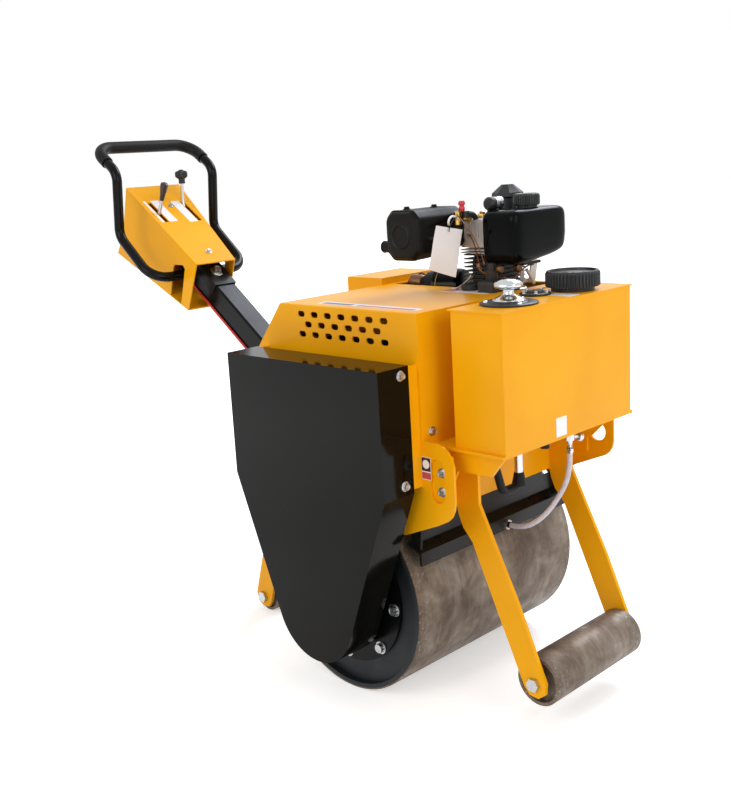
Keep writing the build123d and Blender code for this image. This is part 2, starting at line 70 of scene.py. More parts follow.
def fill(node, inputs):  # sets a node's inputs: a socket, or another node's first output, is linked
    for key, value in inputs.items():
        if isinstance(value, bpy.types.Node):
            value = value.outputs[0]
        if isinstance(value, bpy.types.NodeSocket):
            node.id_data.links.new(value, node.inputs[key])
        else:
            node.inputs[key].default_value = value


def addNode(tree, kind, inputs=None, stops=None, **settings):
    # a new shader node; stops are a ramp's places and colours
    node = tree.nodes.new("ShaderNode" + kind)
    for key, value in settings.items():
        setattr(node, key, value)
    if stops:
        ramp = node.color_ramp.elements
        ramp[0].position, ramp[1].position = stops[0][0], stops[-1][0]
        ramp[0].color, ramp[1].color = hexToLinear(stops[0][1]), hexToLinear(stops[-1][1])
        for at, code in stops[1:-1]:
            ramp.new(at).color = hexToLinear(code)
    fill(node, inputs or {})
    return node


def adder(owner):  # empties a material's or a world's node tree and returns addNode, ready for that tree
    owner.use_nodes = True
    owner.node_tree.nodes.clear()
    return partial(addNode, owner.node_tree)


def newFinish(name, **inputs):  # a material with one Principled shader and Object coordinates
    finish = bpy.data.materials.new(name)
    add = adder(finish)
    shader = add("BsdfPrincipled", {key.replace("_", " "): value for key, value in inputs.items()})
    add("OutputMaterial", {"Surface": shader})
    return finish, add, shader, add("TexCoord").outputs["Object"]


def addObject(name, data):  # a new object of the mesh, curve, lamp or camera given, linked to the scene
    thing = bpy.data.objects.new(name, data)
    bpy.context.scene.collection.objects.link(thing)
    return thing


# ---- finishes ----

# sizes that end in Mm are in millimetres and give a pattern its scale; each depth is in metres
yellowEnamelLook = {"colour": "#f3ab0c", "shade": "#eba206", "roughness": 0.3, "coat": 0.04,
    "coatRoughness": 0.12, "specular": 0.12, "cloudMm": 260, "peelMm": 2.2, "peelDepth": 0.00002}


def yellowEnamel():
    # sprayed gloss enamel on sheet steel: even, warm, with a faint orange peel and a clear skin
    look = yellowEnamelLook
    finish, add, shader, spot = newFinish("yellow sprayed enamel", Roughness=look["roughness"], IOR=1.5,
        Coat_Weight=look["coat"], Coat_Roughness=look["coatRoughness"], Specular_IOR_Level=look["specular"])
    cloud = add("TexNoise", {"Vector": spot, "Scale": 1000 / look["cloudMm"], "Detail": 3.0})
    ramp = add("ValToRGB", {"Fac": cloud}, [(0.35, look["shade"]), (0.6, look["colour"])])
    peel = add("TexNoise", {"Vector": spot, "Scale": 1000 / look["peelMm"], "Detail": 1.0})
    bump = add("Bump", {"Height": peel, "Distance": look["peelDepth"], "Strength": 0.35})
    fill(shader, {"Base Color": ramp, "Normal": bump})
    return finish


blackPaintLook = {"coatRoughness": 0.1, "cloudMm": 111.1, "peelMm": 2.5, "peelDepth": 0.00001, "dull": 0.8,
    "dullest": 1.3}


def blackPaint(name, shades, roughness, specular, coat):
    # sprayed black paint: deep, duller where hands and dust rub it
    look = blackPaintLook
    finish, add, shader, spot = newFinish(name, IOR=1.5, Coat_Weight=coat,
        Coat_Roughness=look["coatRoughness"], Specular_IOR_Level=specular)
    cloud = add("TexNoise", {"Vector": spot, "Scale": 1000 / look["cloudMm"], "Detail": 5.0,
        "Roughness": 0.6})
    shine = add("MapRange", {"Value": cloud, "From Min": 0.3, "From Max": 0.7,
        "To Min": roughness * look["dull"], "To Max": roughness * look["dullest"]})
    ramp = add("ValToRGB", {"Fac": cloud}, [(0.3, shades[0]), (0.7, shades[1])])
    peel = add("TexNoise", {"Vector": spot, "Scale": 1000 / look["peelMm"], "Detail": 1.0})
    bump = add("Bump", {"Height": peel, "Distance": look["peelDepth"], "Strength": 0.2})
    fill(shader, {"Base Color": ramp, "Roughness": shine, "Normal": bump})
    return finish


plasticLook = {"shade": "#1b1c1e", "colour": "#242629", "cloudMm": 33.33, "grainMm": 1.111,
    "grainDepth": 0.00006}


def mouldedPlastic():
    # black polypropylene, injection moulded: even grey-black with a spark-eroded grain, drawn coarser than
    # the real 0.2 mm so that it shows
    look = plasticLook
    finish, add, shader, spot = newFinish("black moulded polypropylene", Roughness=0.42, IOR=1.49,
        Specular_IOR_Level=0.35)
    cloud = add("TexNoise", {"Vector": spot, "Scale": 1000 / look["cloudMm"], "Detail": 3.0})
    ramp = add("ValToRGB", {"Fac": cloud}, [(0.3, look["shade"]), (0.7, look["colour"])])
    grain = add("TexNoise", {"Vector": spot, "Scale": 1000 / look["grainMm"], "Detail": 2.0})
    bump = add("Bump", {"Height": grain, "Distance": look["grainDepth"], "Strength": 0.5})
    fill(shader, {"Base Color": ramp, "Normal": bump})
    return finish


# inside is painted shade: the near-black given to the drum's inner wall
wornSteelLook = {"dark": "#453a30", "rust": "#5f4e41", "middle": "#6e6153", "light": "#85796d",
    "bright": "#bcb7ae", "inside": "#12171b", "metal": 0.3, "roundMm": 111.1, "streakMm": 4, "streak": 0.32,
    "patchMm": 70, "bandRoundMm": 333.3, "bandMm": 45.45, "band": 0.35, "rubMm": 7, "edgeMm": 42, "rimMm": 12,
    "dull": 0.62, "polished": 0.42, "depth": 0.0003}


def wornSteel(name, axis, halfLength, wallInside, seed):
    # rolled mill steel, scoured by soil: brown-grey and streaked round its axis, with bright specks near its
    # rims; the side of its wall that faces the axis gets a near-black painted shade, for the shade inside the
    # drum
    look = wornSteelLook
    finish, add, shader, spot = newFinish(name, Metallic=look["metal"])
    centred = add("Mapping", {"Vector": spot, "Location": (-axis.x, seed, -axis.z)})
    round1, round2 = 1000 / look["roundMm"], 1000 / look["bandRoundMm"]
    drawn = add("Mapping", {"Vector": centred, "Scale": (round1, 1000 / look["streakMm"], round1)})
    streak = add("TexNoise", {"Vector": drawn, "Scale": 1.0, "Detail": 4.0, "Roughness": 0.65})
    patch = add("TexNoise", {"Vector": centred, "Scale": 1000 / look["patchMm"], "Detail": 6.0,
        "Roughness": 0.62, "Distortion": 0.4})
    wide = add("Mapping", {"Vector": centred, "Scale": (round2, 1000 / look["bandMm"], round2)})
    band = add("TexNoise", {"Vector": wide, "Scale": 1.0, "Detail": 2.0})
    half = add("Math", {0: streak, 1: look["streak"], 2: patch}, operation="MULTIPLY_ADD")
    mixed = add("Math", {0: band, 1: look["band"], 2: half}, operation="MULTIPLY_ADD")
    tone = add("MapRange", {"Value": mixed, "From Min": 0.58, "From Max": 1.14})
    ground = add("ValToRGB", {"Fac": tone}, [(0.0, look["dark"]), (0.3, look["rust"]), (0.48, look["middle"]),
        (0.75, look["light"]), (1.0, look["bright"])])
    rub = add("TexNoise", {"Vector": centred, "Scale": 1000 / look["rubMm"], "Detail": 5.0,
        "Roughness": 0.75})
    specks = add("MapRange", {"Value": rub, "From Min": 0.56, "From Max": 0.7})
    along = add("SeparateXYZ", {"Vector": centred}).outputs["Y"]
    fromMiddle = add("Math", {0: along, 1: seed + axis.y}, operation="SUBTRACT")
    distance = add("Math", {0: fromMiddle}, operation="ABSOLUTE")
    rim = add("MapRange", {"Value": distance, "From Min": halfLength - look["edgeMm"] / 1000,
        "From Max": halfLength - look["rimMm"] / 1000, "To Min": 0.12, "To Max": 0.75})
    edge = add("Math", {0: specks, 1: rim}, operation="MULTIPLY")
    worn = add("Mix", {0: edge, 6: ground, 7: hexToLinear(look["bright"])}, data_type="RGBA").outputs[2]
    # painted shade: within wallInside of the axis the colour turns near-black, for the drum's shaded inside
    reach = add("VectorMath", {0: centred, 1: (1.0, 0.0, 1.0)}, operation="MULTIPLY")
    radius = add("VectorMath", {0: reach}, operation="LENGTH").outputs["Value"]
    outside = add("MapRange", {"Value": radius, "From Min": wallInside - 0.001,
        "From Max": wallInside + 0.001})
    skin = add("Mix", {0: outside, 6: hexToLinear(look["inside"]), 7: worn}, data_type="RGBA").outputs[2]
    shine = add("MapRange", {"Value": patch, "From Min": 0.3, "From Max": 0.7, "To Min": look["dull"],
        "To Max": look["polished"]})
    bump = add("Bump", {"Height": mixed, "Distance": look["depth"], "Strength": 0.6})
    fill(shader, {"Base Color": skin, "Roughness": shine, "Normal": bump})
    return finish


def platedMetal(name, shades, roughness, grainMm, depth, metallic=1.0):
    # bright or cast metal with a fine, uneven grain
    finish, add, shader, spot = newFinish(name, Metallic=metallic)
    grain = add("TexNoise", {"Vector": spot, "Scale": 1000 / grainMm, "Detail": 4.0, "Roughness": 0.6})
    ramp = add("ValToRGB", {"Fac": grain}, [(0.3, shades[0]), (0.7, shades[1])])
    shine = add("MapRange", {"Value": grain, "From Min": 0.3, "From Max": 0.7, "To Min": roughness * 0.7,
        "To Max": roughness * 1.3})
    bump = add("Bump", {"Height": grain, "Distance": depth, "Strength": 0.6})
    fill(shader, {"Base Color": ramp, "Roughness": shine, "Normal": bump})
    return finish


def softSkin(name, shades, roughness, grainMm, depth, **inputs):
    # paper, vinyl, rubber and sheath: dull, with a fine tooth
    finish, add, shader, spot = newFinish(name, Roughness=roughness, **inputs)
    grain = add("TexNoise", {"Vector": spot, "Scale": 1000 / grainMm, "Detail": 3.0})
    ramp = add("ValToRGB", {"Fac": grain}, [(0.3, shades[0]), (0.7, shades[1])])
    bump = add("Bump", {"Height": grain, "Distance": depth, "Strength": 0.6})
    fill(shader, {"Base Color": ramp, "Normal": bump})
    return finish


def axisOf(node):  # middle and half width of a part that turns about Y
    low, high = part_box(node)
    return (low + high) / 2, (high.y - low.y) / 2


drumLow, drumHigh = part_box("drum_shell")
drumAxis, drumHalf = axisOf("drum_shell")
drumWall = 0.003
frontAxis, frontHalf = axisOf("front_roller")
rearAxis, rearHalf = axisOf("rear_roller")

enamel = yellowEnamel()
glossBlack = blackPaint("black gloss enamel", ("#060708", "#0b0c0d"), 0.22, 0.12, 0.02)
satinBlack = blackPaint("black satin powder coat", ("#121210", "#171714"), 0.3, 0.18, 0.0)
stoveBlack = blackPaint("black stove enamel", ("#0e0d0c", "#12110f"), 0.42, 0.12, 0.0)
coverBlack = blackPaint("black gloss powder coat, belt cover", ("#0a0a09", "#0d0d0b"), 0.1, 0.1, 0.0)
tankBlack = blackPaint("black gloss enamel, fuel tank", ("#050607", "#090a0b"), 0.14, 0.06, 0.0)
plastic = mouldedPlastic()
drumSteel = wornSteel("scoured rolled steel, drum", drumAxis, drumHalf,
                      (drumHigh.z - drumLow.z) / 2 - drumWall, 0.0)
frontSteel = wornSteel("scoured rolled steel, front roller", frontAxis, frontHalf, 0.0, 0.31)
rearSteel = wornSteel("scoured rolled steel, rear roller", rearAxis, rearHalf, 0.0, 0.67)
zinc = platedMetal("zinc-plated steel", ("#a9acae", "#d3d6d8"), 0.3, 1.6, 0.00003)
castIron = platedMetal("black-painted cast iron", ("#161616", "#2b2a28"), 0.55, 2.5, 0.0002, 0.2)
castAlloy = platedMetal("sand-cast aluminium", ("#a9a9ab", "#cfcfd1"), 0.42, 1.8, 0.0001, 0.25)
chrome = platedMetal("polished chrome plate", ("#c4c8cb", "#d0d3d5"), 0.15, 20.0, 0.0)
brass = platedMetal("turned brass", ("#a98338", "#d7b567"), 0.28, 1.4, 0.00004)
copper = platedMetal("heat-tinted copper", ("#46301f", "#8a6040"), 0.4, 2.2, 0.00005, 0.6)
rubber = softSkin("black nitrile rubber", ("#101010", "#181818"), 0.5, 1.2, 0.00008, Specular_IOR_Level=0.15)
clearPvc = softSkin("clear soft PVC hose", ("#c9c6d4", "#e2e0ea"), 0.16, 6.0, 0.00005, IOR=1.45,
                    Transmission_Weight=0.2)
redSheath = softSkin("red PVC cable sheath", ("#b32018", "#cf3a2c"), 0.34, 3.0, 0.00003)
redPlastic = softSkin("red moulded plastic", ("#b5162a", "#d2303f"), 0.35, 3.0, 0.00003)
brownPhenolic = softSkin("brown phenolic lever grip", ("#23120f", "#311a16"), 0.35, 3.0, 0.00002)
paper = softSkin("white tag card", ("#eceaee", "#f7f6f9"), 0.8, 1.0, 0.00003)
whiteVinyl = softSkin("white label vinyl", ("#e6e3e6", "#f3f1f3"), 0.3, 4.0, 0.00001)
redVinyl = softSkin("red label vinyl", ("#b0414a", "#c2555b"), 0.3, 4.0, 0.00001)
darkVinyl = softSkin("dark label vinyl", ("#2b1c33", "#3a2440"), 0.3, 4.0, 0.00001)

nodeFinish = [(drumSteel, "drum_shell"), (frontSteel, "front_roller"), (rearSteel, "rear_roller"),
    (coverBlack, "belt_cover"),
    (enamel,
    "side_plate_right side_plate_left front_cross rear_cross carrier_left hood battery_box water_tank "
    "tank_support front_arm_right front_arm_left rear_arm_right rear_arm_left cover_bracket_front "
    "cover_bracket_rear console"),
    (glossBlack, "drum_flange_right drum_flange_left fuel_tank tank_bracket tow_post handlebar"),
    (satinBlack, "engine_bed carrier_right scraper_bar"), (stoveBlack, "muffler"), (clearPvc, "water_hose"),
    (plastic, "water_cap fuel_cap air_cleaner lever_right lever_left"), (chrome, "breather_cap"),
    (zinc, "drum_axle front_pin rear_pin water_valve drain_pipe"), (castAlloy, "engine_block cylinder_head"),
    (castIron, "gearbox cylinder"), (rubber, "drain_plug drain_elbow grip_sleeve"),
    (redSheath, "control_cables")]
for finish, nodes in nodeFinish:
    for node in nodes.split():
        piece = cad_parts[node]
        piece.data.materials.clear()
        piece.data.materials.append(finish)

print("finishes made for", sum(len(nodes.split()) for finish, nodes in nodeFinish), "nodes")

# ---- surfaces ----

# profiles, radii, plate and bolt sizes are in millimetres; boxes, places and finished points are in metres
weldReach = 0.000002


def makePiece(name, grids, finish, crease=38.0, body="chassis"):
    # each grid is rows of points whose last column meets its first; neighbours make one four-sided face
    points, faces, used = [], [], 0
    for grid in grids:
        rows, columns = grid.shape[:2]
        row, column = np.meshgrid(np.arange(rows - 1), np.arange(columns), indexing="ij")
        after = (column + 1) % columns
        faces.append(np.stack([row * columns + column, row * columns + after, (row + 1) * columns + after,
            (row + 1) * columns + column], -1).reshape(-1, 4) + used)
        points.append(grid.reshape(-1, 3))
        used += rows * columns
    mesh = bpy.data.meshes.new(name)
    mesh.from_pydata(np.concatenate(points).tolist(), [], np.concatenate(faces).tolist())
    work = bmesh.new()
    work.from_mesh(mesh)
    bmesh.ops.remove_doubles(work, verts=work.verts, dist=weldReach)
    bmesh.ops.recalc_face_normals(work, faces=work.faces)
    work.to_mesh(mesh)
    work.free()
    mesh.shade_smooth()
    mesh.set_sharp_from_angle(angle=math.radians(crease))
    mesh.materials.append(finish)
    piece = addObject(name, mesh)
    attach(piece, body)
    return piece


def stand(grid, foot, axis=(0.0, 0.0, 1.0)):
    # turns a shape made up the Z axis so that it stands along axis, from foot
    turn = np.array(Vector(axis).to_track_quat("Z", "Y").to_matrix())
    return grid @ turn.T + np.array(foot)


def angles(steps):  # once round, in that many equal steps
    return np.linspace(0, 2 * np.pi, steps, endpoint=False)


def spun(radius, heights, t):
    # rows of points at each height, at the angles t and the given radii; millimetres to metres
    return np.stack([radius * np.cos(t), radius * np.sin(t), np.broadcast_to(heights[:, None], radius.shape)],
        -1) / 1000


def turned(profile, steps=40, count=0, depth=0.0, flat=1.0):
    # at angle t the profile's radius grows by depth times its own third number times a wave with count
    # crests, whose tops are cut off level where flat is over 1
    line = np.array([tuple(p) + (0.0,) * (3 - len(p)) for p in profile], float)
    t = angles(steps)
    wave = np.clip(flat * np.cos(count * t), -1, 1)
    return spun(line[:, 0, None] + depth * line[:, 2, None] * wave, line[:, 1], t)


def hexTurned(profile, steps=36):
    # a profile's third number, where it has one, holds it to a hexagon: its radius is the flat's distance
    # over the cosine of the angle from that flat's middle, and never more than the third number, which rounds
    # the corners
    line = np.array([tuple(p) + (0.0,) * (3 - len(p)) for p in profile], float)
    t = angles(steps)
    six = 1 / np.cos((t + np.pi / 6) % (np.pi / 3) - np.pi / 6)
    held = np.minimum(line[:, 0, None] * six, line[:, 2, None])
    return spun(np.where(line[:, 2, None] > 0, held, line[:, 0, None]), line[:, 1], t)


def hexBolt(foot, axis, flats, head, washer):
    # washer of that radius, hexagon head with its corners turned off, and a shallow dish in its top
    half, thick = flats / 2, 1.6
    profile = [(0, 0), (washer, 0), (washer, thick * 0.8), (washer * 0.96, thick), (half, thick, half * 1.15),
        (half, thick + head * 0.8, half * 1.15), (half, thick + head, half * 1.02),
        (half * 0.72, thick + head), (half * 0.66, thick + head * 0.9), (0, thick + head * 0.88)]
    return stand(hexTurned(profile), foot, axis)


def squared(wave, squareness):  # a signed power of a cosine or a sine: 1 gives a circle, and near 0 a square
    return np.sign(wave) * np.abs(wave) ** squareness


def roundedBlock(low, high, squareness, around, along, axis=2):
    # superellipsoid: each coordinate is its half size times signed powers of cosines and sines, so faces are
    # nearly flat; its poles lie on the axis, 1 for Y or 2 for Z
    low, high = np.array(low), np.array(high)
    u = angles(around)[None, :]
    v = np.linspace(-np.pi / 2, np.pi / 2, along)[:, None]
    waist, long = squared(np.cos(v), squareness), squared(np.sin(v), squareness) + 0 * u
    wide, tall = waist * squared(np.cos(u), squareness), waist * squared(np.sin(u), squareness)
    order = (wide, long, tall) if axis == 1 else (wide, tall, long)
    return (low + high) / 2 + (high - low) / 2 * np.stack(order, -1)


def bentPath(points, steps):  # Bezier curve: each point is weighted by its Bernstein polynomial
    points = np.array(points, float)
    last = len(points) - 1
    t, power = np.linspace(0, 1, steps)[:, None], np.arange(last + 1)
    choose = np.array([math.comb(last, k) for k in range(last + 1)])
    return (choose * t ** power * (1 - t) ** power[::-1]) @ points


def alongPath(path, radii, steps):
    # a round section carried along a path and closed at both ends; its sideways direction is square to the
    # path and, where the path isn't steep, to the vertical
    path = np.array(path, float)
    radii = np.broadcast_to(np.array(radii) / 1000, (len(path),))
    run = np.gradient(path, axis=0)
    run /= np.linalg.norm(run, axis=1, keepdims=True)
    guide = np.array([0.0, 0.0, 1.0]) if np.abs(run[:, 2]).max() < 0.9 else np.array([0.31, 0.95, 0.05])
    side = np.cross(run, guide)
    side /= np.linalg.norm(side, axis=1, keepdims=True)
    up = np.cross(side, run)
    t = angles(steps)[None, :, None]
    grid = path[:, None] + radii[:, None, None] * (np.cos(t) * side[:, None] + np.sin(t) * up[:, None])
    ends = [np.broadcast_to(path[k], grid[:1].shape) for k in (0, -1)]
    return np.concatenate([ends[0], grid, ends[1]])


def pad(centre, alongU, alongV, thick, squareness=0.12):
    # a thin plate with rounded corners: rings of a superellipse, from the middle of one face over the edge to
    # the other's middle
    alongU, alongV = np.array(alongU) / 1000, np.array(alongV) / 1000
    out = np.cross(alongU, alongV)
    out /= np.linalg.norm(out)
    t = angles(48)
    scale = np.array([0, 0.3, 0.6, 0.9, 1, 1, 0.9, 0.6, 0.3, 0])[:, None, None]
    lift = np.array([0, 0, 0, 0, 0.1, 0.9, 1, 1, 1, 1])[:, None, None] * thick / 1000
    ring = squared(np.cos(t), squareness)[:, None] * alongU + squared(np.sin(t), squareness)[:, None] * alongV
    return np.array(centre) + scale * ring + lift * out


def centreOf(node):  # middle and both corners of a CAD node's box
    low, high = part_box(node)
    return (low + high) / 2, low, high


def spotAt(x, y, z):
    # a place in millimetres from the drum's middle on the ground, turned to metres in the model's frame
    return np.array([drumAxis.x + x / 1000, drumAxis.y + y / 1000, z / 1000])


def bentSpots(spots, steps):  # a smooth curve through places given in millimetres, as spotAt takes them
    return bentPath([spotAt(*spot) for spot in spots], steps)


# ---- water hose: a free cord, so its route comes first ----

hoseRoute = {"points": [(0.625, 0.1095, 0.486), (0.625, 0.1095, 0.442), (0.608, 0.0935, 0.392),
    (0.584, 0.0695, 0.350), (0.552, 0.0475, 0.327), (0.518, 0.0475, 0.327)], "diameter": 0.011}


def waterHose():
    # soft hose from the tank's valve down to the spray bar: a smooth curve through its own control points
    route = np.array(hoseRoute["points"])
    curve = bpy.data.curves.new("water_hose_line", "CURVE")
    curve.dimensions = "3D"
    line = curve.splines.new("NURBS")
    line.points.add(len(route) - 1)
    line.points.foreach_set("co", np.concatenate([route, np.ones((len(route), 1))], 1).ravel())
    line.order_u = 3
    line.use_endpoint_u = True
    line.resolution_u = 16
    curve.bevel_depth = hoseRoute["diameter"] / 2
    curve.bevel_resolution = 6
    curve.use_fill_caps = True
    hose = addObject("water_hose_line", curve)
    curve.materials.append(clearPvc)
    bare = curve.copy()
    bare.bevel_depth = 0
    probe = bpy.data.objects.new("hoseProbe", bare)
    centre = np.array([v.co for v in bpy.data.meshes.new_from_object(probe).vertices])
    bpy.data.objects.remove(probe)
    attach(hose, "chassis")
    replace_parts(hose, "water_hose")


waterHose()

# ---- engine ----

fuelTankLook = {"squareness": 0.27, "lift": 0.02, "draw": 0.006}


def fuelTank():  # pressed steel tank: a superellipsoid whose far lower end draws up and in
    look = fuelTankLook
    middle, low, high = centreOf("fuel_tank")
    grid = roundedBlock(low, high, look["squareness"], 112, 72, 1)
    far = (grid[..., 1] - low.y) / (high.y - low.y)
    down = np.clip((middle.z - grid[..., 2]) / (middle.z - low.z), 0, 1)
    grid[..., 2] += look["lift"] * far ** 2 * down
    grid[..., 1] -= look["draw"] * down * far
    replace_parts(makePiece("fuel_tank_shell", [grid], tankBlack), "fuel_tank")


capLook = {"fuelRibs": 30, "fuelRib": 1.1, "fuelInset": 0.8, "waterRibs": 46, "waterRib": 1.4,
    "waterInset": 1.2, "neck": 42}


def ribbedCaps():
    # moulded screw caps: upright ribs round a drum, a rounded rim and a shallow disc in the top
    middle, low, high = centreOf("fuel_cap")
    r, h = (high.x - low.x) * 500 - capLook["fuelInset"], (high.z - low.z) * 1000
    profile = [(0, 0), (r * 0.82, 0), (r * 0.82, 3), (r * 0.97, 4), (r, 6, 1), (r, 9, 1), (r, h - 6, 1),
        (r * 0.985, h - 3.5, 0.7), (r * 0.93, h - 1.2), (r * 0.86, h - 0.6), (r * 0.8, h - 1.6),
        (r * 0.4, h - 1.8), (0, h - 1.8)]
    rim = stand(turned(profile, 240, capLook["fuelRibs"], capLook["fuelRib"], 1.6),
        (middle.x, middle.y, low.z))
    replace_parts(makePiece("fuel_cap_ribbed", [rim], plastic), "fuel_cap")
    middle, low, high = centreOf("water_cap")
    r, h = (high.x - low.x) * 500 - capLook["waterInset"], (high.z - low.z) * 1000
    profile = [(0, 0), (capLook["neck"], 0), (capLook["neck"], 8), (r * 0.985, 8.5), (r, 10.5, 1), (r, 13, 1),
        (r, h - 6, 1), (r, h - 4, 0.6), (r * 0.985, h - 1.5), (r * 0.96, h), (r * 0.88, h),
        (r * 0.862, h - 1.2), (r * 0.85, h - 4.5), (r * 0.4, h - 5), (r * 0.37, h - 3.6), (r * 0.3, h - 3),
        (0, h - 3)]
    cap = stand(turned(profile, 368, capLook["waterRibs"], capLook["waterRib"], 1.8),
        (middle.x, middle.y, low.z))
    lug = pad((middle.x + 0.012, middle.y - 0.026, high.z - 0.0045), (6, 0, 0), (0, 9, 0), 4, 0.5)
    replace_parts(makePiece("water_cap_ribbed", [cap, lug], plastic), "water_cap")


mufflerLook = {"width": 0.092, "corner": 0.016, "softness": 34.0, "shoulder": 0.037, "dent": 0.009,
    "comb": 0.0013, "combPitch": 0.0058, "droop": 0.012, "outletY": -38, "outletZ": 905, "neckZ": 915,
    "topZ": 980.7}


def muffler():
    # welded sheet box: at each angle its section reaches to the nearest of its side, its top and its cut
    # corner, softened by a power mean of the three; its end cap is domed and embossed, and its side is
    # pressed in
    look = mufflerLook
    low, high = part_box("muffler")
    a, b = look["width"] / 2, (high.z - low.z) / 2
    centreX, centreZ = high.x - a, (high.z + low.z) / 2
    t = angles(192)
    c, s = np.abs(np.cos(t)) + 1e-9, np.abs(np.sin(t)) + 1e-9
    near = np.stack([a / c, b / s, (a + b - look["corner"]) / (c + s)])
    eight = (near ** -look["softness"]).sum(0) ** (-1 / look["softness"])
    start, end = low.y + 0.002, high.y - look["shoulder"]
    length = end - start
    # end cap: rings that go from a circle to the eight corners, each with its height above the cap's face
    ring = [(0, 0.0008), (0.42, 0.0008), (0.46, 0.0022), (0.5, 0.0028), (0.54, 0.0022), (0.58, 0.0008),
        (0.8, 0.0005), (0.87, -0.001), (0.92, -0.004), (0.955, -0.008)]
    rows = []
    for share, rise in ring:
        blend = np.clip((share - 0.5) / 0.35, 0, 1)
        radius = share * (blend * eight + (1 - blend) * min(a, b))
        rows.append(np.stack([centreX + radius * np.cos(t), np.full_like(t, start + 0.0005 - rise),
            centreZ + radius * np.sin(t)], -1))
    # body: rows along it with a bead near the cap; the dent and the comb of small folds lie on the side
    # towards +X
    plain = list(np.linspace(0.018, length - 0.006, 44))
    runs = [0.0085, 0.0095, 0.011, 0.013, 0.0145, 0.0155] + plain + [length]
    sizes = [0.985, 0.998, 1.0, 1.0, 0.996, 0.985] + [0.985] * len(plain) + [0.93]
    for run, size in zip(runs, sizes):
        x, z = eight * size * np.cos(t), eight * size * np.sin(t)
        onSide = np.clip((x - a * 0.9) / (a * 0.06), 0, 1)
        wedge = np.clip((run - 0.022) / 0.05, 0, 1) * np.clip((length - 0.012 - run) / 0.012, 0, 1)
        upper = np.clip(1 - np.abs(z - 0.004) / (0.010 + 0.022 * np.clip((run - 0.02) / 0.09, 0, 1)), 0, 1)
        lower = np.clip((-z - 0.012) / 0.004, 0, 1) * np.clip((0.043 + z) / 0.004, 0, 1)
        fold = 0.5 + 0.5 * np.cos(z / look["combPitch"] * 2 * np.pi)
        comb = look["comb"] * lower * fold * np.clip((run - 0.03) / 0.006, 0, 1)
        rise = look["droop"] * np.clip(-z / b, 0, 1) * (run / length) ** 2
        x = x - onSide * (look["dent"] * wedge * np.clip(upper * 2.2, 0, 1) + comb)
        rows.append(np.stack([centreX + x, np.full_like(t, start + run), centreZ + z + rise], -1))
    rows.append(np.broadcast_to([centreX, end, centreZ], rows[0].shape))
    outlet = spotAt(0, look["outletY"], look["outletZ"])
    stub = [(9.8, -4), (12, -4), (12, 21.5), (12.8, 22.2), (12.8, 24.5), (9.8, 25), (9.8, 1), (0, 1)]
    pipe = stand(turned(stub, 40), (low.x + 0.025, outlet[1], outlet[2]), (-1, 0, 0))
    flange = stand(turned([(0, 0), (16, 0), (16, 2), (12.5, 3), (0, 3)]),
        (low.x + 0.0235, outlet[1], outlet[2]), (-1, 0, 0))
    up = look["neckZ"]
    neck = alongPath(bentSpots([(40, 82, up), (40, 105, up), (45, 115, up), (62, 122, up)], 14), 17, 32)
    collar = alongPath([spotAt(56, 120, up), spotAt(60, 121, up)], 24, 32)
    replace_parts(makePiece("muffler_shell", [np.stack(rows), pipe, flange, neck, collar], stoveBlack, 24),
        "muffler")
    makePiece("muffler_bolts", [hexBolt(spotAt(x, y, look["topZ"]), (0, 0, 1), 10, 4, 8)
        for x, y in ((16, -22), (34, 42))], stoveBlack)


def airCleaner():  # moulded housing under an eight-sided rain cap
    middle, low, high = centreOf("air_cleaner")
    foot, h = (middle.x, middle.y, low.z), (high.z - low.z) * 1000
    body = turned([(0, 0), (21.5, 0), (23, 4), (23, h - 28), (20, h - 24), (0, h - 24)], 48)
    dome = turned([(0, h - 26), (30, h - 26), (33.5, h - 24.5), (33.5, h - 18.5), (32.5, h - 16.5),
        (14.5, h - 1.5), (13.5, h), (0, h)], 8)
    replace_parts(makePiece("air_cleaner_housing", [stand(body, foot), stand(dome, foot)], plastic, 20),
        "air_cleaner")
    filterBody = turned([(0, 0), (12.5, 0), (13.5, 1), (13.5, 4), (12.8, 5), (12.8, 16), (13.5, 17),
        (13.5, 21), (12, 22), (0, 22)])
    makePiece("fuel_filter_bowl", [stand(filterBody, spotAt(150, 92, 983), (0, 1, 0))], zinc)
    filterCap = turned([(0, 0), (9, 0), (12.5, 3), (13.8, 6), (13.8, 17), (12, 19), (0, 19)])
    makePiece("fuel_filter_cap", [stand(filterCap, spotAt(150, 74, 983), (0, 1, 0)),
        alongPath(bentSpots([(150, 84, 975), (148, 86, 968), (140, 90, 958), (136, 110, 948)], 12), 6, 16)],
        plastic)


cylinderLook = {"finPitch": 0.0085, "fin": 0.0028, "rib": 0.004, "cover": 0.030,
    "sideRibs": (0.012, 0.032, 0.052, 0.072, 0.092), "nearRibs": (0.01, 0.028, 0.046, 0.064)}


